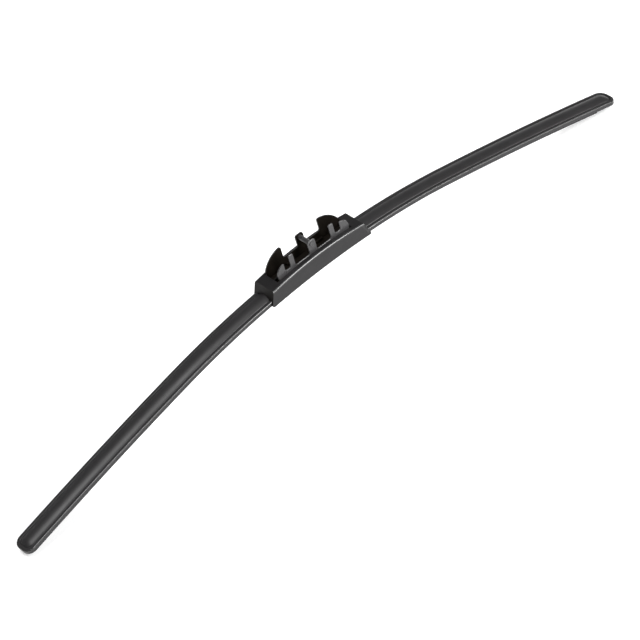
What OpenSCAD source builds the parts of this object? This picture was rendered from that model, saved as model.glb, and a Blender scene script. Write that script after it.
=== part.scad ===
// Beam type windscreen wiper blade with a two part full length cover and a central
// snap-in arm connector. Sizes are in millimetres. The origin is on the axis of the
// connector's cross pin, X runs along the blade and Z points away from the glass.

/* [Blade] */
// Length of the blade, measured along its curve
blade_len = 530; // [350:5:700]
// Radius of the strongly curved middle of the blade
mid_radius = 557; // [450:1:900]
// Half length of the strongly curved middle
mid_half = 117; // [90:1:150]
// Radius of the flatter outer parts
outer_radius = 2540; // [1500:10:6000]

/* [Cover] */
// Width of the cover
cover_w = 16.5; // [15.6:0.1:17]
// Height of the cover's side faces
cover_side_h = 3.1; // [2.8:0.1:4]
// Height of the crown above the flange
crown_h = 1.2; // [0.8:0.1:2]
// Distance from the middle to the centre of each long groove
groove_y = 5.7; // [5:0.1:6.2]
// Width of the long grooves
groove_w = 1.1; // [0.6:0.1:1.6]
// Depth of the long grooves
groove_d = 0.5; // [0.2:0.05:0.6]
// Corner radius of the closed ends, seen from above
end_round = 6.2; // [2:0.1:7.5]
// Length of solid material at each closed end
end_wall = 5; // [3:0.5:8]

/* [Rails] */
// Width of each spring rail
rail_w = 5.2; // [4:0.1:5.6]
// Thickness of the spring rails
rail_t = 0.9; // [0.7:0.05:1]
// Gap between the two rails
rail_gap = 2.4; // [2:0.1:2.8]
// Depth of the rails' upper faces below the cover's flange
rail_depth = 1.15; // [1.1:0.05:1.3]

/* [Wiping element] */
// Width of the head that lies on the rails
head_w = 4.4; // [3.6:0.1:4.6]
// Thickness of the head
head_t = 0.8; // [0.5:0.05:0.85]
// Width of the shoulder under the rails
shoulder_w = 5.2; // [4:0.1:5.4]
// Height of the shoulder under the rails
shoulder_h = 1.5; // [1.2:0.1:2]
// Thickness of the hinge web
web_t = 0.9; // [0.6:0.1:1.2]
// Height of the hinge web
web_h = 1.4; // [1:0.1:2]
// Width of the wedge over the lip
wedge_w = 4.6; // [3:0.1:5]
// Height of the wedge
wedge_h = 4.5; // [3:0.1:6]
// Thickness of the wiping lip
lip_t = 0.8; // [0.5:0.1:1.2]
// Height of the wiping lip
lip_h = 1; // [0.5:0.1:2]
// Distance from the blade's ends to the ends of the wiping element
rubber_inset = 11; // [10:0.5:13]

/* [Housing] */
// Width of the connector housing at its top
housing_w = 19.2; // [18.2:0.1:20]
// Height of the housing's crest over the cover's flange
housing_crest = 8.7; // [7:0.1:10]
// Radius of the housing's arched top
housing_top_radius = 238; // [180:1:400]
// Length of the closed block of the housing beyond each end of its well, at the top
end_block = 7.25; // [6:0.05:10]
// How far each end of the housing runs out from its top to its foot
end_flare = 4.1; // [2:0.1:6]
// Depth of the housing's foot below the flange at the middle
housing_drop = 3.1; // [2.6:0.1:4]
// Radius of the hollow arch of the housing's foot
foot_arch_r = 1170; // [900:10:3000]
// Rounding of the housing's long upper edges
housing_edge_r = 1.1; // [0.4:0.1:1.5]
// Rounding of the housing's upper end corners
housing_end_r = 1.6; // [0.5:0.1:2.5]
// Rounding of the housing's lower end corners
housing_foot_r = 1.5; // [0.5:0.1:2]

/* [Clip insert] */
// Distance between the insert's side walls, where the arm's hook goes in
bay_w = 11.2; // [10.4:0.1:11.6]
// Thickness of the insert's side walls
wall_t = 1; // [0.8:0.1:1.2]
// Distance from the blade's middle plane back to the middle of the insert
insert_back = 0.9; // [0:0.1:1]
// Length of the insert
insert_len = 63.4; // [62:0.2:66]
// Thickness of the insert's floor
floor_t = 1.4; // [1:0.1:2]
// Height of the low stretches of the side walls
low_h = 9; // [8.8:0.1:10]
// Width of the middle tabs that hold the pin
tab_w = 6.4; // [5.6:0.1:7.4]
// Rounding of the tabs' upper corners
tab_round = 1.6; // [0.5:0.1:2.4]
// Height of the front tab over the pin's middle
tab_rise = 3.1; // [2.8:0.1:4]
// How much lower the back tab is
tab_step = 0.7; // [0:0.1:0.7]
// Rounding where the tabs and fingers grow out of the walls
foot_fillet = 1.5; // [0.5:0.1:1.8]
// Distance from the middle to the inner edge of each finger
finger_x = 15.3; // [14.5:0.1:16]
// Width of each front finger
finger_w = 3.8; // [3.2:0.1:4.2]
// Height of the front fingers
finger_h = 19.2; // [18:0.1:21]
// Width of the slot beside each front finger
slot_w = 4.7; // [4:0.1:5]
// Height of the slot's rounded floor
slot_h = 10.2; // [10:0.1:12]
// Radius of the front fins' curved outer edge
fin_r = 6.9; // [6.6:0.1:7.4]
// Height of the middle of the front fins' curve
fin_mid_h = 9.4; // [9:0.1:10]
// Radius of the back fins' curved outer edge
back_fin_r = 19.5; // [18:0.5:21]
// Height of the back fins at their inner edge
back_fin_h = 18.8; // [17.5:0.1:19.5]
// Height of the catch ledges on the back wall
ledge_z = 3.9; // [3.6:0.1:5]
// How far the catch ledges stand out from the back wall
ledge_w = 1.8; // [1:0.1:2]
// Height of the ribs at the two ends of the bay
end_rib_h = 5.6; // [4:0.1:6]

/* [Pin] */
// Diameter of the cross pin
pin_d = 3.4; // [2.6:0.1:3.4]
// Height of the pin's middle over the cover's flange
pin_h = 15.4; // [14.5:0.1:16.5]
// How far each end of the pin stands out of its tab
pin_proud = 0.3; // [0.1:0.1:0.8]

/* [Clearances] */
// Play round the rails and the wiping element
rail_play = 0.1; // [0.05:0.05:0.1]
// Gap between the covers' sides and the housing
cover_gap = 0.2; // [0.1:0.05:0.25]
// Gap between the covers' crown and the housing
crown_gap = 0.55; // [0.2:0.05:0.7]
// Gap between the well's ends and the covers' hidden inner ends
cover_clear = 0.9; // [0.5:0.1:3]
// Gap between the insert, the base and the housing
insert_gap = 0.15; // [0.1:0.05:0.2]
// Gap round the pin in its bores
pin_gap = 0.05; // [0.02:0.01:0.1]

/* [Hidden] */
// Fragments of a full turn for the long sweeps and for small round shapes
SWEEP = 720;
ROUND = 48;
// Small overlap of joined shapes, and a depth below everything
EPS = 0.01;
DEEP = 20;

half_len = blade_len / 2;
join_angle = mid_angle(mid_half);
rail_top = -rail_depth;
rail_bottom = rail_top - rail_t;
rail_in = rail_gap / 2;
rail_out = rail_in + rail_w;
rail_edge = 0.15;
rail_end = half_len - end_wall - 0.3;
rubber_end = half_len - rubber_inset;

crown_half = groove_y - groove_w / 2;
groove_out = groove_y + groove_w / 2;
crown_rise = crown_h + 0.15;
crown_r = (crown_half * crown_half + crown_rise * crown_rise) / (2 * crown_rise);

head_top = rail_top + rail_play + head_t;
neck_half = rail_in - 2 * rail_play;
shoulder_top = rail_bottom - rail_play;
shoulder_bottom = shoulder_top - shoulder_h;
web_bottom = shoulder_bottom - web_h;
wedge_bottom = web_bottom - wedge_h;
lip_bottom = wedge_bottom - lip_h;
mouth_half = shoulder_w / 2 + 3 * rail_play;

base_wall = 1;
base_roof = 0.9;
base_half = rail_out + base_wall;
base_top = head_top + rail_play + base_roof;
base_inset = 1;
base_len = insert_len - 2 * base_inset;
base_claw_gap = 24;

well_len = insert_len + 2 * insert_gap;
cover_start = well_len / 2 + cover_clear;
housing_arc = 14;
foot_c = [0, -housing_drop - foot_arch_r];
arch_c = [0, housing_crest - housing_top_radius];
end_top_x = well_len / 2 + end_block;
end_top = [end_top_x, arch_z(end_top_x)];
end_foot = [end_top_x + end_flare, foot_z(end_top_x + end_flare)];
end_dir = unit(end_top - end_foot);
end_in = [-end_dir[1], end_dir[0]];
end_low = end_foot - DEEP * end_dir;
end_high = end_top + DEEP / 2 * end_dir;
top_corner = end_corner(end_top, arch_c, housing_top_radius - housing_end_r, housing_end_r);
foot_corner = end_corner(end_foot, foot_c, foot_arch_r + housing_foot_r, housing_foot_r);
corner_cross = 0.03;

insert_w = bay_w + 2 * wall_t;
floor_top = base_top + insert_gap + floor_t;
wall_foot_h = arch_z(insert_len / 2) - 0.6;
tab_top = pin_h + tab_rise;
finger_round = 0.9;
slot_round = 1.5;
fin_x = finger_x + finger_w + slot_w;
fin_end = insert_len / 2 - 1.1;
fin_c = [fin_end - fin_r, fin_mid_h];
fin_tip_r = 0.7;
back_fin_end = insert_len / 2 - 0.3;
back_fin_c = [back_fin_end + 2.1 - back_fin_r, back_fin_h - back_fin_r];
back_fin_tip_r = 1.5;
ledge_from = 9.5;
ledge_len = 6;
ledge_t = 1;
end_rib_len = 3.4;
end_rib_w = 1.2;

// Turn of the blade's middle and of its outer part over a length
function mid_angle(s) = s / mid_radius * 180 / PI;
function outer_angle(s) = s / outer_radius * 180 / PI;
// Height of the housing's arch at a distance from the middle
function arch_z(x) = housing_crest - housing_top_radius
    + sqrt(housing_top_radius * housing_top_radius - x * x);
// Height of the housing's foot at a distance from the middle
function foot_z(x) = -housing_drop - foot_arch_r + sqrt(foot_arch_r * foot_arch_r - x * x);
// Vector of length one
function unit(v) = v / norm(v);
// Middle of a rounding that touches the housing's end line at its inner side and lies on a
// circle round another centre
function end_corner(on_line, centre, reach, r) =
    let (q = on_line + r * end_in - centre, along = q * end_dir)
    centre + q + (sqrt(along * along - q * q + reach * reach) - along) * end_dir;

// Puts a shape from the frame whose centre is that of the curved middle, and whose
// vertical is the plane where the middle passes into the right part, in its place
module from_join() {
    translate([0, 0, -mid_radius])
        rotate([0, join_angle, 0])
            children();
}

// Sweeps a section about the frame's Y axis, to the left of the vertical
module turn_left(radius, skip, angle) {
    rotate([90, 0, 0])
        rotate([0, 0, 90 + skip])
            rotate_extrude(angle = angle, $fn = SWEEP)
                translate([radius, 0])
                    children();
}

// Sweeps a section over the curved middle, evenly about the blade's centre.
// In the section, x is the height over the flange and y runs across the blade.
module mid_sweep(half) {
    translate([0, 0, -mid_radius])
        turn_left(mid_radius, -mid_angle(half), mid_angle(2 * half))
            children();
}

// Sweeps a section over the flatter right part, between two distances
module outer_sweep(from, to) {
    from_join()
        mirror([1, 0, 0])
            translate([0, 0, mid_radius - outer_radius])
                turn_left(outer_radius, outer_angle(from - mid_half), outer_angle(to - from))
                    children();
}

// Sweeps a section along the right side, between two distances from the middle
module right_sweep(from, to) {
    from_join()
        turn_left(mid_radius, 0, mid_angle(mid_half - from))
            children();
    outer_sweep(mid_half, to)
        children();
}

// Sweeps a section along the whole blade, up to the same distance on both sides
module full_sweep(to) {
    for (side = [0, 1])
        mirror([side, 0, 0])
            right_sweep(-mid_half / 4, to)
                children();
}

// Moves a shape from the frame of the blade's flange to the pin
module from_pin() {
    translate([0, 0, -pin_h])
        children();
}

// Upright plate with a given outline in X and Z, between two places in Y
module plate(y_from, y_to) {
    translate([0, y_to, 0])
        rotate([90, 0, 0])
            linear_extrude(y_to - y_from)
                children();
}

// Outline with square feet and rounded upper corners, centred in X
module rounded_top(width, height, r) {
    translate([-width / 2, 0])
        square([width, height - r]);
    translate([-width / 2 + r, 0])
        square([width - 2 * r, height]);
    for (x = [-1, 1])
        translate([x * (width / 2 - r), height - r])
            circle(r, $fn = ROUND);
}

// Room for the rails and the wiping element, cut from the covers and the base
module track_section() {
    translate([rail_bottom - rail_play, -rail_out - 2 * rail_play])
        square([rail_t + 2 * rail_play, 2 * rail_out + 4 * rail_play]);
    translate([rail_top, -head_w / 2 - 3 * rail_play])
        square([head_t + 2 * rail_play, head_w + 6 * rail_play]);
    translate([-DEEP, -mouth_half])
        square([DEEP + rail_bottom, 2 * mouth_half]);
}

// Crowned strip between the cover's long grooves, grown by a gap
module crown_section(gap) {
    intersection() {
        translate([crown_h - crown_r, 0])
            circle(crown_r + gap, $fn = 4 * ROUND);
        translate([-groove_d - 0.2, -crown_half - gap])
            square([2 * crown_h + groove_d + 1, 2 * (crown_half + gap)]);
    }
}

// Upright prism over the cover, with the closed end's rounded plan, drawn in by a margin
module end_prism(margin) {
    half = cover_w / 2 - margin;
    r = end_round - margin;
    from_join()
        translate([0, 0, mid_radius - outer_radius])
            rotate([0, outer_angle(half_len - mid_half), 0])
                translate([-margin, 0, outer_radius - 3 * DEEP])
                    linear_extrude(6 * DEEP) {
                        translate([-blade_len, -half])
                            square([blade_len - r, 2 * half]);
                        translate([-blade_len, r - half])
                            square([blade_len, 2 * (half - r)]);
                        for (y = [-1, 1])
                            translate([-r, y * (half - r)])
                                circle(r, $fn = 2 * ROUND);
                    }
}

// Flat strip of the cover's top, from a depth below the flange to a height over it
module top_strip(depth, height) {
    right_sweep(cover_start - EPS, half_len + 1)
        translate([-depth, -cover_w])
            square([depth + height, 2 * cover_w]);
}

// Body of a cover under its flange, with the long groove that runs round the crown
module cover_flange() {
    difference() {
        intersection() {
            right_sweep(cover_start, half_len + 1)
                translate([-cover_side_h, -cover_w])
                    square([cover_side_h, 2 * cover_w]);
            end_prism(0);
        }
        intersection() {
            top_strip(groove_d, 1);
            difference() {
                end_prism(cover_w / 2 - groove_out);
                end_prism(cover_w / 2 - crown_half);
            }
        }
    }
}

// One moulded cover, from the connector to its closed right end
module cover_body() {
    difference() {
        union() {
            cover_flange();
            intersection() {
                right_sweep(cover_start, half_len + 1)
                    crown_section(0);
                end_prism(cover_w / 2 - crown_half);
            }
        }
        right_sweep(cover_start - 1, half_len - end_wall)
            track_section();
    }
}

// Left cover, the mirror image of the right one
module cover_left() {
    color([0.24, 0.24, 0.25])
        from_pin()
            mirror([1, 0, 0])
                cover_body();
}

// Right cover
module cover_right() {
    color([0.24, 0.24, 0.25])
        from_pin()
            cover_body();
}

// Half section of the wiping element: head, neck, shoulder, hinge web, wedge and lip
module rubber_half() {
    polygon([
        [head_top, 0], [head_top, head_w / 2], [rail_top + rail_play, head_w / 2],
        [rail_top + rail_play, neck_half], [shoulder_top, neck_half],
        [shoulder_top, shoulder_w / 2], [shoulder_bottom, shoulder_w / 2],
        [shoulder_bottom - 0.4, web_t / 2], [web_bottom, web_t / 2],
        [web_bottom, wedge_w / 2], [web_bottom - 0.6, wedge_w / 2],
        [wedge_bottom, lip_t / 2], [lip_bottom, lip_t / 2], [lip_bottom, 0]
    ]);
}

// Rubber wiping element, hung on the rails between the end stops
module wiping_element() {
    color([0.10, 0.10, 0.10])
        from_pin()
            full_sweep(rubber_end) {
                rubber_half();
                mirror([0, 1])
                    rubber_half();
            }
}

// One flat spring rail on the front side, bent to the blade's curve
module rail_body() {
    full_sweep(rail_end)
        polygon([
            [rail_bottom, rail_in + rail_edge], [rail_bottom + rail_edge, rail_in],
            [rail_top - rail_edge, rail_in], [rail_top, rail_in + rail_edge],
            [rail_top, rail_out - rail_edge], [rail_top - rail_edge, rail_out],
            [rail_bottom + rail_edge, rail_out], [rail_bottom, rail_out - rail_edge]
        ]);
}

// Front spring rail
module rail_front() {
    color([0.62, 0.63, 0.65])
        from_pin()
            rail_body();
}

// Back spring rail
module rail_back() {
    color([0.62, 0.63, 0.65])
        from_pin()
            mirror([0, 1, 0])
                rail_body();
}

// Stop that closes the rails' gap beyond the wiping element
module end_stop() {
    outer_sweep(rubber_end + 2 * rail_play, rail_end) {
        translate([rail_top + rail_play, -head_w / 2])
            square([head_t, head_w]);
        translate([shoulder_top - EPS, -neck_half])
            square([rail_t + 2 * rail_play + 2 * EPS, 2 * neck_half]);
        translate([-cover_side_h, -shoulder_w / 2])
            square([cover_side_h + shoulder_top, shoulder_w]);
    }
}

// Left end stop
module end_stop_left() {
    color([0.16, 0.16, 0.17])
        from_pin()
            mirror([1, 0, 0])
                end_stop();
}

// Right end stop
module end_stop_right() {
    color([0.16, 0.16, 0.17])
        from_pin()
            end_stop();
}

// Base inside the connector, whose four claws reach round the rails
module rail_base() {
    color([0.14, 0.14, 0.15])
        from_pin()
            difference() {
                mid_sweep(base_len / 2)
                    difference() {
                        translate([-cover_side_h, -base_half])
                            square([base_top + cover_side_h, 2 * base_half]);
                        track_section();
                    }
                mid_sweep(base_claw_gap / 2)
                    translate([-DEEP, -rail_out - 2 * rail_play])
                        square([DEEP + rail_bottom, 2 * (rail_out + 2 * rail_play)]);
            }
}

// Section of the housing along its arch, with rounded long edges
module housing_section() {
    half = housing_w / 2;
    r = housing_edge_r;
    translate([-DEEP, -half])
        square([DEEP - r, housing_w]);
    translate([-r - EPS, r - half])
        square([r + EPS, housing_w - 2 * r]);
    for (y = [-1, 1])
        circle_at([-r, y * (half - r)], r);
}

// Side view of the housing: slanting ends, rounded corners and an arched foot
module housing_side() {
    difference() {
        polygon([[-end_low[0], end_low[1]], end_low, end_high, [-end_high[0], end_high[1]]]);
        translate(foot_c)
            circle(foot_arch_r, $fn = SWEEP);
        for (side = [0, 1])
            mirror([side, 0]) {
                corner_waste(top_corner, housing_end_r, end_top + [3, 3],
                    arch_c + housing_top_radius * unit(top_corner - arch_c));
                corner_waste(foot_corner, housing_foot_r, end_foot + [3, -3],
                    foot_c + foot_arch_r * unit(foot_corner - foot_c));
            }
    }
}

// Waste outside a rounded corner at the housing's right end, whose rounding crosses the
// lines it joins a little outside them
module corner_waste(middle, r, outside, touch) {
    difference() {
        polygon([middle, middle - r * end_in, outside, touch]);
        circle_at(middle, r + corner_cross);
    }
}

// Circle with its middle at a point
module circle_at(point, r) {
    translate(point)
        circle(r, $fn = ROUND);
}

// Room in the housing for the covers, with the same crown
module cover_room() {
    translate([-DEEP, -cover_w / 2 - cover_gap])
        square([DEEP + cover_gap, cover_w + 2 * cover_gap]);
    crown_section(crown_gap);
}

// Arched connector housing with an open well for the arm's hook
module bridge_housing() {
    color([0.20, 0.19, 0.20])
        from_pin()
            difference() {
                intersection() {
                    translate([0, 0, housing_crest - housing_top_radius])
                        turn_left(housing_top_radius, -housing_arc, 2 * housing_arc)
                            housing_section();
                    plate(-housing_w, housing_w)
                        housing_side();
                }
                mid_sweep(end_foot[0] + 4)
                    cover_room();
                mid_sweep(well_len / 2)
                    translate([-DEEP, -cover_w / 2 - cover_gap])
                        square([DEEP + base_top + insert_gap, cover_w + 2 * cover_gap]);
                translate([-well_len / 2, insert_back - insert_w / 2 - insert_gap, -DEEP])
                    cube([well_len, insert_w + 2 * insert_gap, 2 * DEEP]);
            }
}

// Fin from an inner edge out to a curve, with a rounded tip
module fin_outline(from, to, middle, r, tip_r) {
    tip = [from + tip_r, middle[1] + sqrt(pow(r - tip_r, 2) - pow(from + tip_r - middle[0], 2))];
    touch = middle + r * unit(tip - middle);
    high = middle[1] + r + 1;
    difference() {
        intersection() {
            translate([from, 0])
                square([to - from, high]);
            translate(middle)
                circle(r, $fn = 2 * ROUND);
        }
        difference() {
            polygon([tip, [from - 1, tip[1]], [from - 1, high], [touch[0], high], touch]);
            circle_at(tip, tip_r);
        }
    }
}

// Fillet on the walls' low stretch, to the right of an upright edge
module foot_fill(x) {
    translate([x - EPS, low_h - EPS])
        difference() {
            square(foot_fillet + EPS);
            circle_at([foot_fillet + EPS, foot_fillet + EPS], foot_fillet);
        }
}

// Outline common to both side walls: foot, low stretch and the middle tab
module wall_base(tab_top) {
    translate([-insert_len / 2, -DEEP / 2])
        square([insert_len, DEEP / 2 + wall_foot_h]);
    translate([-finger_x - 1, 0])
        square([2 * (finger_x + 1), low_h]);
    rounded_top(tab_w, tab_top, tab_round);
    for (side = [0, 1])
        mirror([side, 0]) {
            foot_fill(tab_w / 2);
            mirror([1, 0])
                foot_fill(-finger_x);
        }
}

// Front wall: on each side a finger, a slot with a rounded floor and a curved fin
module front_wall() {
    wall_base(tab_top);
    for (side = [0, 1])
        mirror([side, 0]) {
            translate([finger_x + finger_w / 2, 0])
                rounded_top(finger_w, finger_h, finger_round);
            difference() {
                translate([finger_x + 1, 0])
                    square([finger_w + slot_w, slot_h + slot_round]);
                translate([finger_x + finger_w + slot_w / 2, slot_h + DEEP])
                    mirror([0, 1])
                        rounded_top(slot_w, DEEP, slot_round);
            }
            fin_outline(fin_x, fin_end, fin_c, fin_r, fin_tip_r);
        }
}

// Back wall with its two plain fins
module back_wall() {
    wall_base(tab_top - tab_step);
    for (side = [0, 1])
        mirror([side, 0])
            fin_outline(finger_x + 0.3, back_fin_end, back_fin_c, back_fin_r, back_fin_tip_r);
}

// Clip insert: side walls, floor, catch ledges and end ribs, with the pin's bores
module clip_insert() {
    color([0.19, 0.19, 0.20])
        from_pin()
            translate([0, insert_back, 0])
                difference() {
                    union() {
                        plate(-insert_w / 2, -bay_w / 2)
                            front_wall();
                        plate(bay_w / 2, insert_w / 2)
                            back_wall();
                        plate(-bay_w / 2 - EPS, bay_w / 2 + EPS)
                            translate([-insert_len / 2, -DEEP / 2])
                                square([insert_len, DEEP / 2 + floor_top]);
                        for (side = [0, 1])
                            mirror([side, 0, 0]) {
                                translate([ledge_from, bay_w / 2 - ledge_w, ledge_z - ledge_t / 2])
                                    cube([ledge_len, ledge_w + EPS, ledge_t]);
                                translate([insert_len / 2 - end_rib_len, -insert_back - end_rib_w / 2, 0])
                                    cube([end_rib_len, end_rib_w, end_rib_h]);
                            }
                    }
                    mid_sweep(well_len)
                        translate([-2 * DEEP, -2 * cover_w])
                            square([2 * DEEP + base_top + insert_gap, 4 * cover_w]);
                    translate([0, insert_w, pin_h])
                        rotate([90, 0, 0])
                            cylinder(r = pin_d / 2 + pin_gap, h = 2 * insert_w, $fn = ROUND);
                }
}

// Cross pin through the two tabs, with broken edges
module pivot_pin() {
    half = insert_w / 2 + pin_proud;
    edge = pin_proud / 2;
    color([0.22, 0.22, 0.23])
        translate([0, insert_back, 0])
            rotate([90, 0, 0])
                rotate_extrude($fn = ROUND)
                    polygon([
                        [0, -half], [pin_d / 2 - edge, -half], [pin_d / 2, edge - half],
                        [pin_d / 2, half - edge], [pin_d / 2 - edge, half], [0, half]
                    ]);
}

cover_left();
cover_right();
wiping_element();
rail_front();
rail_back();
end_stop_left();
end_stop_right();
rail_base();
bridge_housing();
clip_insert();
pivot_pin();
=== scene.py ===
"""Looks of a curved beam wiper blade: covers, rubber, connector, finishes and studio."""

import logging
import math
from dataclasses import dataclass
from enum import Enum

import bmesh
import bpy
from mathutils import Matrix, Vector


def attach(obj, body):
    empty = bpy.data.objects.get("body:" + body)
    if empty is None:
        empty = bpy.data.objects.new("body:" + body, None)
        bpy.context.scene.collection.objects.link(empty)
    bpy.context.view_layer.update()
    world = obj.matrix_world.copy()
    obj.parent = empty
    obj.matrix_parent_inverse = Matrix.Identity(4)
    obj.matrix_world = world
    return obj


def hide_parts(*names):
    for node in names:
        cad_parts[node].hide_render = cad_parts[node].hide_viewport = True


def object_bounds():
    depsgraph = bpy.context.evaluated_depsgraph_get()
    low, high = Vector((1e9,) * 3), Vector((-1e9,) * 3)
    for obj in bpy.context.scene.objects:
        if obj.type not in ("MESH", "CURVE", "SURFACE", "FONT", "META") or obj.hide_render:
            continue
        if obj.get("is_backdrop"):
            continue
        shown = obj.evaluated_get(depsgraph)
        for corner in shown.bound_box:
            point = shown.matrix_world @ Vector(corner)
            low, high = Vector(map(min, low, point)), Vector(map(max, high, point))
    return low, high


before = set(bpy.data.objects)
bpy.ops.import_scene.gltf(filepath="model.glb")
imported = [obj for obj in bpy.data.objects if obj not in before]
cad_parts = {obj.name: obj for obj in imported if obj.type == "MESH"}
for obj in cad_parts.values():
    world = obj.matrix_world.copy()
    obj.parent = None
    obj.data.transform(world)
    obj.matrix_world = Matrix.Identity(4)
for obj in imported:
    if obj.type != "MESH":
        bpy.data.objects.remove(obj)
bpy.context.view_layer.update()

LOG = logging.getLogger("wiper_blade")
MM = 0.001
MERGE = 1e-6  # metres
FLAT = math.radians(0.5)
CREASE = 28.0  # degrees
ARC_STEPS = 32
MID_ROUND = 0.3  # inset of a small rounding's middle ring, as a share of its radius
NOISE_SPREAD = (0.3, 0.7)
WHITE = (1.0, 1.0, 1.0, 1.0)

Vec3 = tuple[float, float, float]
Edges = list[bmesh.types.BMEdge]


@dataclass(frozen=True)
class BladeCurve:
    """Curve of the covers' flange, even about the blade's middle, in millimetres."""

    pin_height: float = 15.4
    middle_radius: float = 557.0
    middle_half: float = 117.0
    outer_radius: float = 2540.0

    def flange(self, x: float) -> float:
        """Finds the flange's height.

        Args:
            x: Distance along X from the blade's middle, to either side.

        Returns:
            The height over the pin's axis, which is below zero.
        """
        turn = self.middle_half / self.middle_radius
        drop = self.middle_radius + self.pin_height
        if abs(x) < self.middle_radius * math.sin(turn):
            return math.sqrt(self.middle_radius**2 - x**2) - drop
        more = self.outer_radius - self.middle_radius
        reach = abs(x) + more * math.sin(turn)
        return math.sqrt(self.outer_radius**2 - reach**2) - more * math.cos(turn) - drop

    def bent(self, point: Vector, side: float) -> Vector:
        """Moves a point of a straight piece to the curved blade.

        Args:
            point: Distance along the blade, across it and height over the flange.
            side: 1 for the right half of the blade, -1 for the left one.

        Returns:
            The point in metres.
        """
        turn = self.middle_half / self.middle_radius
        angle = min(point.x, self.middle_half) / self.middle_radius
        x = math.sin(angle) * self.middle_radius
        z = math.cos(angle) * self.middle_radius - self.middle_radius
        if point.x > self.middle_half:
            angle += (point.x - self.middle_half) / self.outer_radius
            x += self.outer_radius * (math.sin(angle) - math.sin(turn))
            z += self.outer_radius * (math.cos(angle) - math.cos(turn))
        x += point.z * math.sin(angle)
        z += point.z * math.cos(angle) - self.pin_height
        return Vector((x * side, point.y, z)) * MM


CURVE = BladeCurve()


class Material:
    """A node material under construction, with short calls for the nodes it uses."""

    def __init__(self, name: str) -> None:
        """Starts a material with a principled shader and object coordinates.

        Args:
            name: Name of the finish.
        """
        self.mat = bpy.data.materials.new(name)
        self.mat.use_nodes = True
        self.tree = self.mat.node_tree
        self.shader = self.tree.nodes["Principled BSDF"]
        self.place = self.tree.nodes.new("ShaderNodeTexCoord").outputs["Object"]

    def node(self, kind: str, **values: object) -> bpy.types.Node:
        """Adds a node and sets its properties.

        Args:
            kind: Blender's node type without its ShaderNode prefix.
            **values: Properties of the node.

        Returns:
            The new node.
        """
        n = self.tree.nodes.new("ShaderNode" + kind)
        for key, value in values.items():
            setattr(n, key, value)
        return n

    def link(self, a: bpy.types.NodeSocket, b: bpy.types.NodeSocket) -> None:
        """Links two sockets."""
        self.tree.links.new(a, b)

    def noise(self, scale: float, detail: float) -> bpy.types.NodeSocket:
        """Adds a noise pattern over the piece.

        Args:
            scale: Cycles in a metre.
            detail: Octaves of finer noise.

        Returns:
            The noise's value.
        """
        n = self.node("TexNoise")
        n.inputs["Scale"].default_value = scale
        n.inputs["Detail"].default_value = detail
        self.link(self.place, n.inputs["Vector"])
        return n.outputs["Fac"]

    def span(self, value: bpy.types.NodeSocket, low: float, high: float) -> bpy.types.NodeSocket:
        """Maps a pattern from its usual spread to a range.

        Args:
            value: Pattern within about NOISE_SPREAD.
            low: Result at the low end.
            high: Result at the high end.

        Returns:
            The mapped value.
        """
        n = self.node("MapRange")
        self.link(value, n.inputs["Value"])
        for key, number in zip(("From Min", "From Max", "To Min", "To Max"), (*NOISE_SPREAD, low, high)):
            n.inputs[key].default_value = number
        return n.outputs["Result"]

    def two_tone(self, value: bpy.types.NodeSocket, dark: Vec3, light: Vec3) -> None:
        """Colours the piece between two tones by a pattern.

        Args:
            value: Pattern between 0 and 1.
            dark: Linear colour at 0.
            light: Linear colour at 1.
        """
        n = self.node("Mix", data_type="RGBA")
        self.link(value, n.inputs["Factor"])
        n.inputs["A"].default_value = (*dark, 1.0)
        n.inputs["B"].default_value = (*light, 1.0)
        self.link(n.outputs["Result"], self.shader.inputs["Base Color"])

    def bump(self, height: bpy.types.NodeSocket, depth: float, strength: float) -> None:
        """Adds fine relief.

        Args:
            height: Pattern that gives the relief.
            depth: Height of the relief in metres.
            strength: Share of the relief that shows.
        """
        n = self.node("Bump")
        n.inputs["Distance"].default_value = depth
        n.inputs["Strength"].default_value = strength
        self.link(height, n.inputs["Height"])
        self.link(n.outputs["Normal"], self.shader.inputs["Normal"])


@dataclass(frozen=True)
class Surface:
    """Finish with two tones and slightly uneven gloss, and a fine grain where it has one.

    A noise is its cycles in a metre and its octaves, and the grain's depth is in metres.
    """

    name: str
    dark: Vec3
    light: Vec3
    gloss_low: float
    gloss_high: float
    shine: float = 0.5
    metallic: float = 0.0
    tone_noise: tuple[float, float] = (90.0, 4.0)
    gloss_noise: tuple[float, float] = (60.0, 1.0)
    grain_noise: tuple[float, float] = (2600.0, 2.0)
    grain_depth: float = 0.00003
    grain_strength: float = 0.25

    def make(self) -> bpy.types.Material:
        """Builds the material.

        Returns:
            The new material.
        """
        m = Material(self.name)
        m.two_tone(m.span(m.noise(*self.tone_noise), 0.0, 1.0), self.dark, self.light)
        gloss = m.span(m.noise(*self.gloss_noise), self.gloss_low, self.gloss_high)
        m.link(gloss, m.shader.inputs["Roughness"])
        m.shader.inputs["Specular IOR Level"].default_value = self.shine
        m.shader.inputs["Metallic"].default_value = self.metallic
        if self.grain_strength:
            m.bump(m.noise(*self.grain_noise), self.grain_depth, self.grain_strength)
        return m.mat


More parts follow.
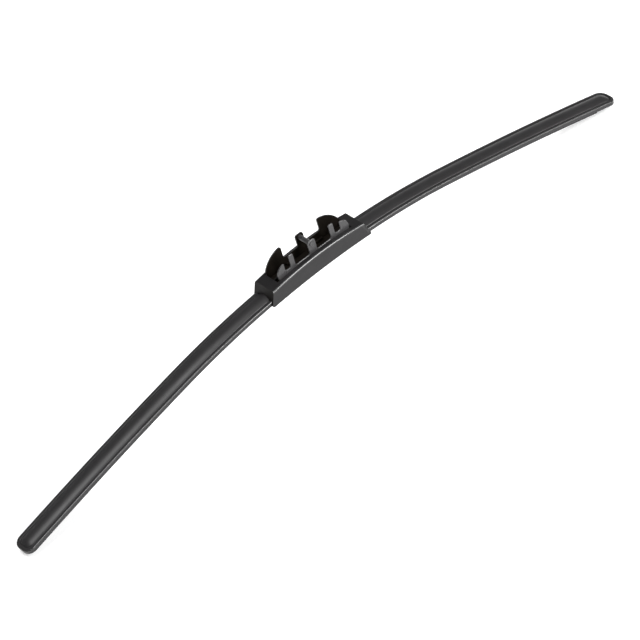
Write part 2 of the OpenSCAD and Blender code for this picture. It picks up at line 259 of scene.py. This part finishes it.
class Finish(Enum):
    """The finishes of the blade's pieces, among them a painted edge highlight and painted shade in the
    insert's bay.
    """

    COVER = Surface(
        "cover_plastic", (0.014, 0.0135, 0.014), (0.018, 0.0175, 0.018), 0.38, 0.44, shine=0.32,
    )
    HOUSING = Surface(
        "housing_plastic", (0.007, 0.0066, 0.007), (0.010, 0.0095, 0.010), 0.28, 0.34, shine=0.31,
    )
    END = Surface(
        "housing_end", (0.007, 0.0065, 0.006), (0.011, 0.010, 0.009), 0.4, 0.5, shine=0.12,
    )
    # Glossier copy of the plastics for rounded edges, lighter than the housing and covers: a painted
    # highlight standing in for brighter lamps.
    EDGE = Surface(
        "painted_edge_highlight", (0.016, 0.0155, 0.016), (0.020, 0.0195, 0.020), 0.24, 0.28, shine=0.8,
        grain_strength=0.02,
    )
    INSERT = Surface(
        "insert_plastic", (0.026, 0.025, 0.026), (0.034, 0.033, 0.034), 0.26, 0.34,
    )
    # Dark plastic of the stops and the rail base; on the insert's bay faces it is painted shade, darker
    # than the outer faces where the walls shade the bay.
    DARK_PLASTIC_AND_BAY_SHADE = Surface(
        "dark_plastic_and_bay_shade", (0.005, 0.004, 0.003), (0.008, 0.0065, 0.005), 0.45, 0.55, shine=0.05,
    )
    RUBBER = Surface(
        "coated_rubber", (0.007, 0.007, 0.0075), (0.012, 0.012, 0.0125), 0.5, 0.6, shine=0.12,
        tone_noise=(120.0, 2.0), gloss_noise=(80.0, 1.0), grain_noise=(1800.0, 3.0), grain_strength=0.2,
    )
    STEEL = Surface(
        "spring_steel", (0.33, 0.34, 0.36), (0.48, 0.49, 0.51), 0.28, 0.42, metallic=1.0,
        tone_noise=(400.0, 5.0), gloss_noise=(900.0, 3.0), grain_strength=0.0,
    )


def dress(piece: bpy.types.Object, *finishes: bpy.types.Material) -> None:
    """Gives a piece its materials.

    Args:
        piece: The piece.
        *finishes: Its materials, in the order of the faces' numbers.
    """
    for finish in finishes:
        piece.data.materials.append(finish)


def put_in(bm: bmesh.types.BMesh, node: str, crease: float = CREASE) -> bpy.types.Object:
    """Turns a finished bmesh into the piece that stands for a CAD node.

    Args:
        bm: The shape, in metres; it is freed.
        node: Name of the CAD node.
        crease: Angle from which an edge stays sharp, in degrees.

    Returns:
        The new piece, riding on the body.
    """
    for face in bm.faces:
        face.smooth = True
    for edge in bm.edges:
        edge.smooth = edge.calc_face_angle(0.0) < math.radians(crease)
    mesh = bpy.data.meshes.new(node + "_look")
    bm.to_mesh(mesh)
    bm.free()
    piece = bpy.data.objects.new(node + "_look", mesh)
    bpy.context.scene.collection.objects.link(piece)
    weighted = piece.modifiers.new("weighted", "WEIGHTED_NORMAL")
    weighted.keep_sharp = True
    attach(piece, "root")
    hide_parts(node)
    return piece


def merged_copy(node: str) -> bmesh.types.BMesh:
    """Copies a CAD node's mesh, joins its loose triangles and clears its flat faces.

    Args:
        node: Name of the CAD node.

    Returns:
        The merged shape.
    """
    bm = bmesh.new()
    bm.from_mesh(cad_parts[node].data)
    bmesh.ops.remove_doubles(bm, verts=bm.verts, dist=MERGE)
    bmesh.ops.dissolve_limit(
        bm, angle_limit=FLAT, use_dissolve_boundaries=False,
        verts=bm.verts, edges=bm.edges, delimit={"NORMAL"},
    )
    return bm


class Coat(Enum):
    """Which of a piece's materials a face takes, by its number."""

    FACE = 0
    # Rounded edges that take the painted highlight finish.
    EDGE = 1
    # Housing ends in a matt finish, and the insert's bay faces with painted shade.
    MATT = 2


def round_edges(
    bm: bmesh.types.BMesh, edges: Edges, width: float, steps: int,
    coat: Coat = Coat.FACE, clamp: bool = True,
) -> None:
    """Rounds edges.

    Args:
        bm: The shape.
        edges: Its edges to round.
        width: Width of the rounding beside each edge, in millimetres.
        steps: Faces across the rounding.
        coat: Which of the piece's materials the rounding takes.
        clamp: Whether the rounding gets narrower beside short edges.
    """
    made = bmesh.ops.bevel(
        bm, geom=edges, offset=width * MM, offset_type="OFFSET", segments=steps, profile=0.5,
        affect="EDGES", material=-1, clamp_overlap=clamp,
    )["faces"]
    for face in made:
        face.material_index = coat.value


def sharp_edges(bm: bmesh.types.BMesh, crease: float = CREASE) -> Edges:
    """Lists the edges whose faces turn by more than an angle in degrees."""
    return [e for e in bm.edges if e.calc_face_angle(0.0) > math.radians(crease)]


def cut_away(bm: bmesh.types.BMesh, waste: list[bmesh.types.BMesh]) -> bmesh.types.BMesh:
    """Cuts closed shapes out of a closed shape.

    Args:
        bm: The shape to cut; it is freed.
        waste: The shapes to take away; they are freed.

    Returns:
        The cut shape.
    """
    objects = []
    for number, shape in enumerate([bm] + waste):
        bmesh.ops.remove_doubles(shape, verts=shape.verts, dist=10.0 * MERGE)
        bmesh.ops.recalc_face_normals(shape, faces=shape.faces)
        bmesh.ops.triangulate(shape, faces=shape.faces)
        mesh = bpy.data.meshes.new(f"cut_{number}")
        shape.to_mesh(mesh)
        shape.free()
        objects.append(bpy.data.objects.new(f"cut_{number}", mesh))
        bpy.context.scene.collection.objects.link(objects[-1])
    for tool in objects[1:]:
        cut = objects[0].modifiers.new(tool.name, "BOOLEAN")
        cut.operation, cut.solver, cut.object = "DIFFERENCE", "EXACT", tool
    done = bmesh.new()
    graph = bpy.context.evaluated_depsgraph_get()
    done.from_mesh(objects[0].evaluated_get(graph).to_mesh())
    for obj in objects:
        mesh = obj.data
        bpy.data.objects.remove(obj)
        bpy.data.meshes.remove(mesh)
    bmesh.ops.remove_doubles(done, verts=done.verts, dist=2.0 * MERGE)
    bmesh.ops.dissolve_limit(
        done, angle_limit=FLAT / 10.0, use_dissolve_boundaries=False,
        verts=done.verts, edges=done.edges, delimit={"NORMAL"},
    )
    return done


@dataclass
class Housing:
    """Arched connector housing with an open well and a tunnel for the covers, in millimetres.

    The flare is how far a side leans out for each millimetre of height. A facing is the least
    share of an axis in the normal of a face that looks along it, and a rise is the range of Z in
    the normal of the face across an edge. A turn is the least angle between the faces of a sharp
    edge, in degrees for least_turn and in radians for rim_turn.
    """

    width: float = 19.1
    crest: float = 8.7
    top_radius: float = 238.0
    top_half: float = 39.1
    drop: float = 3.8
    foot_radius: float = 530.0
    foot_half: float = 43.2
    flare: float = 0.02
    edge_round: float = 1.1
    edge_steps: int = 6
    top_end_round: float = 0.6
    foot_end_round: float = 2.2
    end_edge_round: float = 0.3
    end_steps: int = 4
    least_turn: float = 10.0
    side_facing: float = 0.9
    end_facing: float = 0.7
    top_facing: float = 0.8
    rise_top: tuple[float, float] = (0.6, 1.0)
    rise_top_end: tuple[float, float] = (0.2, 1.0)
    rise_foot_end: tuple[float, float] = (-1.1, -0.7)
    rise_side: tuple[float, float] = (-0.2, 0.2)
    well: tuple[float, float] = (63.7, 13.5)
    well_back: float = 0.9
    well_height: float = 60.0
    rim_over: float = -11.5
    rim_turn: float = 1.0
    rim_round: float = 0.2
    rim_steps: int = 2
    tunnel_half: float = 8.45
    tunnel_roof: float = 0.2
    tunnel_depth: float = 11.4
    tunnel_past: float = 4.0
    crown_half: float = 5.66
    crown_radius: float = 11.05
    crown_steps: int = 16

    def arc(self, bm: bmesh.types.BMesh, radius: float, height: float, half: float) -> None:
        """Draws an arc of edges that is level at the middle.

        Args:
            bm: Shape to draw in.
            radius: Radius of the arc.
            height: Height of its middle over the flange.
            half: Half of its length along X.
        """
        middle = height - CURVE.pin_height - radius
        turn = math.asin(half / radius)
        start = bm.verts.new(Vector((-half, 0.0, middle + radius * math.cos(turn))) * MM)
        bmesh.ops.spin(
            bm, geom=[start], cent=(0.0, 0.0, middle * MM), axis=(0.0, 1.0, 0.0),
            angle=2.0 * turn, steps=ARC_STEPS, dvec=(0.0, 0.0, 0.0),
        )

    def outer(self) -> bmesh.types.BMesh:
        """Builds the closed outer form: arched block, leaning sides and rounded edges.

        Returns:
            The form, its faces numbered by their materials.
        """
        bm = bmesh.new()
        self.arc(bm, self.top_radius, self.crest, self.top_half)
        self.arc(bm, self.foot_radius, -self.drop, self.foot_half)
        side = bmesh.ops.bridge_loops(bm, edges=bm.edges[:])["faces"]
        bmesh.ops.translate(bm, verts=bm.verts, vec=(0.0, -self.width / 2 * MM, 0.0))
        grown = bmesh.ops.extrude_face_region(bm, geom=side)["geom"]
        verts = [g for g in grown if isinstance(g, bmesh.types.BMVert)]
        bmesh.ops.translate(bm, verts=verts, vec=(0.0, self.width * MM, 0.0))
        bmesh.ops.recalc_face_normals(bm, faces=bm.faces)
        top = (self.crest - CURVE.pin_height - self.top_radius) * MM
        for v in bm.verts:
            depth = top + math.sqrt((self.top_radius * MM) ** 2 - v.co.x**2) - v.co.z
            v.co.y += math.copysign(self.flare * max(depth, 0.0), v.co.y)
        for face in bm.faces:
            face.material_index = (Coat.MATT if abs(face.normal.x) > self.end_facing else Coat.FACE).value
        # The crease's rounding takes the painted highlight finish.
        for side, rise, width, steps, coat in (
            ("y", self.rise_top, self.edge_round, self.edge_steps, Coat.EDGE),
            ("x", self.rise_foot_end, self.foot_end_round, self.edge_steps, Coat.FACE),
            ("x", self.rise_top_end, self.top_end_round, self.end_steps, Coat.FACE),
            ("x", self.rise_side, self.end_edge_round, self.end_steps, Coat.MATT),
        ):
            round_edges(bm, self.edges_between(bm, side, rise), width, steps, coat)
        return bm

    def edges_between(self, bm: bmesh.types.BMesh, side: str, rise: tuple[float, float]) -> Edges:
        """Lists the sharp edges between the faces to one side and those that slope by a range.

        Args:
            bm: The shape.
            side: Axis that the side faces look along, x or y.
            rise: Least and greatest Z of the other face's normal.

        Returns:
            The edges.
        """
        facing = self.side_facing if side == "y" else self.end_facing
        found = []
        for edge in sharp_edges(bm, self.least_turn):
            ranks = [abs(getattr(f.normal, side)) > facing for f in edge.link_faces]
            rises = [f.normal.z for f, rank in zip(edge.link_faces, ranks) if not rank]
            if sum(ranks) == 1 and rise[0] <= rises[0] <= rise[1]:
                found.append(edge)
        return found

    def tunnel(self) -> bmesh.types.BMesh:
        """Builds the room that the covers take in the housing.

        Returns:
            The closed room.
        """
        bm = bmesh.new()
        turn = math.asin(self.crown_half / self.crown_radius)
        middle = self.tunnel_roof - self.crown_radius * math.cos(turn)
        start = bm.verts.new(Vector((0.0, -self.crown_half, self.tunnel_roof)) * MM)
        bmesh.ops.spin(
            bm, geom=[start], cent=(0.0, 0.0, middle * MM), axis=(1.0, 0.0, 0.0),
            angle=-2.0 * turn, steps=self.crown_steps, dvec=(0.0, 0.0, 0.0),
        )
        chain = sorted(bm.verts, key=lambda v: v.co.y)
        for side, last in ((-1.0, chain[0]), (1.0, chain[-1])):
            for height in (self.tunnel_roof, -self.tunnel_depth):
                corner = bm.verts.new(Vector((0.0, side * self.tunnel_half, height)) * MM)
                bm.edges.new((last, corner))
                last = corner
        bm.verts.ensure_lookup_table()
        low = [v for v in bm.verts if len(v.link_edges) == 1]
        bm.edges.new(low)
        bmesh.ops.contextual_create(bm, geom=bm.edges[:])
        swing = (self.foot_half + self.tunnel_past) / CURVE.middle_radius
        centre = (0.0, 0.0, -CURVE.middle_radius * MM)
        bmesh.ops.rotate(bm, verts=bm.verts, cent=centre, matrix=Matrix.Rotation(-swing, 3, "Y"))
        bmesh.ops.spin(
            bm, geom=bm.verts[:] + bm.edges[:] + bm.faces[:], cent=centre, axis=(0.0, 1.0, 0.0),
            angle=2.0 * swing, steps=ARC_STEPS, dvec=(0.0, 0.0, 0.0),
        )
        bmesh.ops.translate(bm, verts=bm.verts, vec=(0.0, 0.0, -CURVE.pin_height * MM))
        bmesh.ops.recalc_face_normals(bm, faces=bm.faces)
        return bm

    def well_room(self) -> bmesh.types.BMesh:
        """Builds the room of the clip insert.

        Returns:
            The closed room.
        """
        bm = bmesh.new()
        bmesh.ops.create_cube(bm, size=1.0)
        bmesh.ops.scale(bm, verts=bm.verts, vec=Vector((*self.well, self.well_height)) * MM)
        bmesh.ops.translate(bm, verts=bm.verts, vec=(0.0, self.well_back * MM, 0.0))
        return bm

    def on_rim(self, edge: bmesh.types.BMEdge) -> bool:
        """Tells whether an edge lies on the well's upper rim.

        Args:
            edge: Edge of the cut housing.

        Returns:
            True on the rim.
        """
        half_x, half_y = self.well[0] / 2 * MM, self.well[1] / 2 * MM
        back, near = self.well_back * MM, 10.0 * MERGE
        on_wall = all(
            abs(abs(v.co.x) - half_x) < near or abs(abs(v.co.y - back) - half_y) < near for v in edge.verts
        )
        high = all(v.co.z > self.rim_over * MM for v in edge.verts)
        beside_top = any(f.normal.z > self.top_facing for f in edge.link_faces)
        return on_wall and high and beside_top and edge.calc_face_angle(0.0) > self.rim_turn

    def build(self, *finishes: bpy.types.Material) -> None:
        """Builds and dresses the housing.

        Args:
            *finishes: Materials of its faces, its rounded edges with the painted highlight and its ends.
        """
        bm = cut_away(self.outer(), [self.tunnel(), self.well_room()])
        round_edges(bm, [e for e in bm.edges if self.on_rim(e)], self.rim_round, self.rim_steps)
        dress(put_in(bm, "bridge_housing"), *finishes)
        LOG.info("built bridge_housing")


class Side(Enum):
    """The two ends of the blade, by the sign of X."""

    LEFT = -1.0
    RIGHT = 1.0


@dataclass
class Cover:
    """Moulded cover with a crown, a long groove round it and the rails' channel, in millimetres.

    The groove holds the insets of its two walls and its depth, and the rail slot the inset of its
    wall and the depths of its roof and floor. Depths are under the flange.
    """

    side: Side
    start: float = 32.75
    tip: float = 265.0
    half: float = 8.25
    end_round: float = 6.2
    depth: float = 3.1
    edge_round: float = 0.7
    groove: tuple[float, float, float] = (2.0, 3.1, 0.5)
    lip_round: float = 0.12
    crown_radius: float = 10.5
    crown_height: float = 1.2
    channel_roof: float = 0.15
    rail_slot: tuple[float, float, float] = (1.65, 1.05, 2.15)
    head_slot: float = 5.75
    mouth: float = 5.35
    foot_round: float = 0.2
    wall_lean: float = 0.05
    long_steps: int = 64
    turn_steps: int = 10
    end_steps: int = 4
    crown_steps: int = 10
    edge_steps: int = 5
    crease: float = 40.0

    def path(self, bm: bmesh.types.BMesh) -> None:
        """Draws the cover's plan outline: along the front, round the closed end and back.

        Args:
            bm: Shape to draw in.
        """
        straight = self.tip - self.end_round - self.start
        turn_y = self.half - self.end_round
        last = bm.verts.new((self.start, -self.half, -self.edge_round))
        legs = (
            ((straight, 0.0), None, self.long_steps),
            (None, (self.tip - self.end_round, -turn_y), self.turn_steps),
            ((0.0, 2.0 * turn_y), None, self.end_steps),
            (None, (self.tip - self.end_round, turn_y), self.turn_steps),
            ((-straight, 0.0), None, self.long_steps),
        )
        for move, centre, steps in legs:
            step = tuple(v / steps for v in (*move, 0.0)) if move else (0.0, 0.0, 0.0)
            grown = bmesh.ops.spin(
                bm, geom=[last], cent=(*(centre or (0.0, 0.0)), 0.0), axis=(0.0, 0.0, 1.0), dvec=step,
                angle=0.0 if move else math.pi / 2.0, steps=steps,
            )["geom_last"]
            last = next(g for g in grown if isinstance(g, bmesh.types.BMVert))

    def loft(
        self, bm: bmesh.types.BMesh, outline: Edges, rings: list[tuple[float, float]], highlight_rings: int = 0
    ) -> None:
        """Grows rings from the outline towards the cover's middle line.

        Args:
            bm: Shape to grow.
            outline: Edges of the plan outline.
            rings: Inset from the outline and height of each ring.
            highlight_rings: How many of the first rings take the edges' finish, a painted highlight.
        """
        edges, done = outline, 0.0
        for number, (inset, height) in enumerate(rings):
            grown = bmesh.ops.extrude_edge_only(bm, edges=edges)["geom"]
            verts = [g for g in grown if isinstance(g, bmesh.types.BMVert)]
            for face in (g for g in grown if isinstance(g, bmesh.types.BMFace)):
                face.material_index = (Coat.EDGE if number < highlight_rings else Coat.FACE).value
            share = (self.half - inset) / (self.half - done)
            for v in verts:
                ridge = min(v.co.x, self.tip - self.half)
                v.co = (ridge + (v.co.x - ridge) * share, v.co.y * share, height)
            members = set(verts)
            edges = [g for g in grown if isinstance(g, bmesh.types.BMEdge) and set(g.verts) <= members]
            done = inset

    def crown(self, inset: float) -> float:
        """Gives the crown's height at an inset from the cover's side."""
        reach = self.half - inset
        return self.crown_height - self.crown_radius + math.sqrt(self.crown_radius**2 - reach**2)

    def upper_rings(self) -> list[tuple[float, float]]:
        """Lists the rings of the upper side: rounded edge, flange, groove and crown.

        Returns:
            Inset and height of each ring.
        """
        r, lip, lean = self.edge_round, self.lip_round, self.wall_lean
        outer, inner, deep = self.groove
        turns = [math.radians(90.0 / self.edge_steps * k) for k in range(1, self.edge_steps + 1)]
        rings = [(r - r * math.cos(a), r * math.sin(a) - r) for a in turns]
        rings += [(outer - lip, 0.0), (outer - lip * MID_ROUND, -lip * MID_ROUND), (outer, -lip)]
        rings += [(outer + lean, lip - deep), (outer + 2 * lip, -deep)]
        rings += [(inner - 2 * lip, -deep), (inner - lean, lip - deep)]
        rings += [(inner, self.crown(inner) - lip), (inner + lip, self.crown(inner + lip))]
        rest = self.half - inner - lip
        insets = [inner + lip + rest * k / self.crown_steps for k in range(1, self.crown_steps + 1)]
        return rings + [(inset, self.crown(inset)) for inset in insets]

    def lower_rings(self) -> list[tuple[float, float]]:
        """Lists the rings of the side, the underside and the channel.

        Returns:
            Inset and height of each ring.
        """
        slot, roof, floor = self.rail_slot
        r = self.foot_round
        return [
            (0.0, r - self.depth), (MID_ROUND * r, MID_ROUND * r - self.depth), (r, -self.depth),
            (self.mouth, -self.depth), (self.mouth, -floor), (slot, -floor), (slot, -roof),
            (self.head_slot, -roof), (self.head_slot, -self.channel_roof), (self.half, -self.channel_roof),
        ]

    def build(self, *finishes: bpy.types.Material) -> None:
        """Builds and dresses the cover.

        Args:
            *finishes: Materials of its faces and of its outer edge, which carries a painted highlight.
        """
        bm = bmesh.new()
        self.path(bm)
        outline = bm.edges[:]
        # The first rings round the outer edge and take the painted highlight finish.
        self.loft(bm, outline, self.upper_rings(), self.edge_steps)
        self.loft(bm, outline, self.lower_rings())
        for v in bm.verts:
            v.co = CURVE.bent(v.co, self.side.value)
        bmesh.ops.remove_doubles(bm, verts=bm.verts, dist=MERGE)
        bmesh.ops.dissolve_degenerate(bm, dist=MERGE / 10.0, edges=bm.edges)
        bmesh.ops.holes_fill(bm, edges=[e for e in bm.edges if e.is_boundary], sides=0)
        bmesh.ops.recalc_face_normals(bm, faces=bm.faces)
        node = "cover_" + self.side.name.lower()
        dress(put_in(bm, node, self.crease), *finishes)
        LOG.info("built %s", node)


@dataclass
class ClipInsert:
    """Clip insert with grained outer faces and painted shade on the faces in its bay, a dark matt colour,
    in millimetres.
    """

    node: str = "clip_insert"
    middle: float = 0.9
    bay_half: float = 5.6
    slack: float = 0.05
    edge_round: float = 0.3
    round_steps: int = 3
    rim_from: float = -12.0
    wall_facing: float = 0.9

    def rim(self, bm: bmesh.types.BMesh) -> Edges:
        """Lists the outer edges round the outline of the front wall, over the floor.

        Args:
            bm: The insert's shape.

        Returns:
            The edges.
        """
        return [
            e for e in sharp_edges(bm)
            if e.is_convex and sum(abs(f.normal.y) > self.wall_facing for f in e.link_faces) == 1
            and all(v.co.z > self.rim_from * MM and v.co.y < self.middle * MM for v in e.verts)
        ]

    def build(self, *finishes: bpy.types.Material) -> None:
        """Builds and dresses the insert.

        Args:
            *finishes: Materials of its outer faces, its edges with the painted highlight and the bay's
                       faces with painted shade.
        """
        bm = merged_copy(self.node)
        # Faces in the bay take the third material, a darker colour as painted shade.
        for face in bm.faces:
            across = face.calc_center_median().y / MM - self.middle
            if abs(across) < self.bay_half + self.slack:
                face.material_index = Coat.MATT.value
        # The front wall's rounded rim takes the painted highlight finish.
        round_edges(bm, self.rim(bm), self.edge_round, self.round_steps, Coat.EDGE, clamp=False)
        dress(put_in(bm, self.node), *finishes)
        LOG.info("built %s", self.node)


@dataclass
class SoftPiece:
    """Piece carried over from the CAD with its sharp edges rounded, in millimetres."""

    node: str
    edge_round: float
    round_steps: int = 3

    def shape(self) -> bmesh.types.BMesh:
        """Gives the piece's shape before its edges are rounded."""
        return merged_copy(self.node)

    def build(self, finish: bpy.types.Material) -> None:
        """Builds and dresses the piece.

        Args:
            finish: Its material.
        """
        bm = self.shape()
        round_edges(bm, sharp_edges(bm), self.edge_round, self.round_steps)
        dress(put_in(bm, self.node), finish)
        LOG.info("built %s", self.node)


@dataclass
class Beam:
    """Two spring rails with the stops beyond them and the base between them, in millimetres."""

    rail_round: float = 0.1
    stop_round: float = 0.15

    def build(self, steel: bpy.types.Material, plastic: bpy.types.Material) -> None:
        """Builds and dresses the rails, the stops and the base.

        Args:
            steel: Material of the rails.
            plastic: Material of the stops and the base.
        """
        for node in ("rail_front", "rail_back"):
            SoftPiece(node, self.rail_round).build(steel)
        for node in ("end_stop_left", "end_stop_right", "rail_base"):
            SoftPiece(node, self.stop_round).build(plastic)


@dataclass
class PivotPin(SoftPiece):
    """Cross pin that the arm's hook snaps over."""

    node: str = "pivot_pin"
    edge_round: float = 0.1


@dataclass
class WipingElement(SoftPiece):
    """Rubber wiping element, in millimetres, with a lip that is shallower than the CAD's by lift."""

    node: str = "wiping_element"
    edge_round: float = 0.18
    lift: float = 0.8
    still: float = 3.7
    lip: float = 10.55

    def shape(self) -> bmesh.types.BMesh:
        """Lifts the element's lip towards the flange, and its web in proportion.

        Returns:
            The element's shape before its edges are rounded.
        """
        bm = super().shape()
        for v in bm.verts:
            depth = CURVE.flange(v.co.x / MM) - v.co.z / MM
            share = min(max((depth - self.still) / (self.lip - self.still), 0.0), 1.0)
            v.co.z += self.lift * share * MM
        return bm


@dataclass(frozen=True)
class Lamp:
    """Soft rectangular lamp aimed at the blade, in metres and watts."""

    name: str
    at: Vec3
    size: tuple[float, float]
    power: float

    def build(self) -> None:
        """Adds the lamp to the scene."""
        data = bpy.data.lights.new(self.name, "AREA")
        data.shape = "RECTANGLE"
        data.size, data.size_y = self.size
        data.energy = self.power
        lamp = bpy.data.objects.new(self.name, data)
        lamp.matrix_world = Vector(self.at).to_track_quat("Z", "Y").to_matrix().to_4x4()
        lamp.matrix_world.translation = Vector(self.at)
        bpy.context.scene.collection.objects.link(lamp)


@dataclass
class Studio:
    """Plain pale floor, soft lamps and the photograph's camera.

    The camera's place and sensor are in millimetres, and the other lengths in metres.
    """

    floor_half: float = 6.0
    floor_tone: float = 0.86
    floor_glow: float = 0.30
    floor_gap: float = 0.0002
    floor_rough: float = 0.9
    world_level: float = 0.22
    backdrop_level: float = 1.0
    picture_px: float = 640.0
    sensor: float = 36.0
    clip_end: float = 50.0
    camera_at: Vec3 = (-773.66, -1373.86, 1307.37)
    camera_right: Vec3 = (0.73645, -0.63726, -0.22702)
    camera_down: Vec3 = (-0.56827, -0.40069, -0.71869)
    camera_ahead: Vec3 = (0.36703, 0.65829, -0.65723)
    focal_px: float = 3211.0
    lamps: tuple[Lamp, ...] = (
        Lamp("key_lamp", (0.85, -1.95, 1.2), (0.9, 1.7), 82.0),
        Lamp("side_lamp", (1.85, -1.4, 1.1), (0.7, 1.0), 20.0),
        Lamp("top_lamp", (-0.5, -0.05, 2.3), (1.2, 1.1), 44.0),
    )

    def camera(self) -> None:
        """Sets the camera where the photograph was taken from."""
        data = bpy.data.cameras.new("camera")
        data.sensor_width = self.sensor
        data.lens = self.focal_px * self.sensor / self.picture_px
        data.clip_end = self.clip_end
        cam = bpy.data.objects.new("camera", data)
        axes = (self.camera_right, self.camera_down, self.camera_ahead)
        right, down, ahead = (Vector(axis).normalized() for axis in axes)
        turn = Matrix((right, -down, -ahead)).transposed()
        cam.matrix_world = Matrix.Translation(Vector(self.camera_at) * MM) @ turn.to_4x4()
        bpy.context.scene.collection.objects.link(cam)
        bpy.context.scene.camera = cam

    def seen(self, tree: bpy.types.NodeTree) -> bpy.types.NodeSocket:
        """Gives 1 on rays that show a backdrop: camera, glossy and transmission rays.

        Args:
            tree: Node tree to add to.

        Returns:
            The factor's socket.
        """
        path = tree.nodes.new("ShaderNodeLightPath")
        total = path.outputs["Is Camera Ray"]
        for key in ("Is Glossy Ray", "Is Transmission Ray"):
            add = tree.nodes.new("ShaderNodeMath")
            add.operation = "MAXIMUM"
            tree.links.new(total, add.inputs[0])
            tree.links.new(path.outputs[key], add.inputs[1])
            total = add.outputs[0]
        return total

    def world(self) -> None:
        """Makes a white backdrop that lights the blade gently."""
        world = bpy.data.worlds.new("studio")
        world.use_nodes = True
        bpy.context.scene.world = world
        tree = world.node_tree
        back = tree.nodes["Background"]
        back.inputs["Color"].default_value = WHITE
        level = tree.nodes.new("ShaderNodeMapRange")
        level.inputs["To Min"].default_value = self.world_level
        level.inputs["To Max"].default_value = self.backdrop_level
        path = tree.nodes.new("ShaderNodeLightPath")
        tree.links.new(path.outputs["Is Camera Ray"], level.inputs["Value"])
        tree.links.new(level.outputs["Result"], back.inputs["Strength"])

    def floor(self) -> None:
        """Lays the floor under the blade's lowest point."""
        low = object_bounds()[0][2]
        mesh = bpy.data.meshes.new("floor")
        bm = bmesh.new()
        bmesh.ops.create_grid(bm, x_segments=1, y_segments=1, size=self.floor_half)
        bmesh.ops.translate(bm, verts=bm.verts, vec=(0.0, 0.0, low - self.floor_gap))
        bm.to_mesh(mesh)
        bm.free()
        floor = bpy.data.objects.new("floor", mesh)
        bpy.context.scene.collection.objects.link(floor)
        m = Material("floor_white")
        m.shader.inputs["Base Color"].default_value = (self.floor_tone,) * 3 + (1.0,)
        m.shader.inputs["Roughness"].default_value = self.floor_rough
        m.shader.inputs["Emission Color"].default_value = WHITE
        glow = m.node("Math", operation="MULTIPLY")
        glow.inputs[1].default_value = self.floor_glow
        m.link(self.seen(m.tree), glow.inputs[0])
        m.link(glow.outputs[0], m.shader.inputs["Emission Strength"])
        dress(floor, m.mat)
        floor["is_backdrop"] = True

    def build(self) -> None:
        """Builds the whole studio."""
        bpy.context.scene.view_settings.view_transform = "Standard"
        self.camera()
        self.world()
        self.floor()
        for lamp in self.lamps:
            lamp.build()


def main() -> None:
    """Builds the looks and the studio."""
    logging.basicConfig(level=logging.INFO, format="%(name)s: %(message)s")
    finishes = {f: f.value.make() for f in Finish}
    Beam().build(finishes[Finish.STEEL], finishes[Finish.DARK_PLASTIC_AND_BAY_SHADE])
    PivotPin().build(finishes[Finish.INSERT])
    WipingElement().build(finishes[Finish.RUBBER])
    for side in Side:
        Cover(side).build(finishes[Finish.COVER], finishes[Finish.EDGE])
    Housing().build(finishes[Finish.HOUSING], finishes[Finish.EDGE], finishes[Finish.END])
    ClipInsert().build(finishes[Finish.INSERT], finishes[Finish.EDGE], finishes[Finish.DARK_PLASTIC_AND_BAY_SHADE])
    Studio().build()


if __name__ == "__main__":
    main()
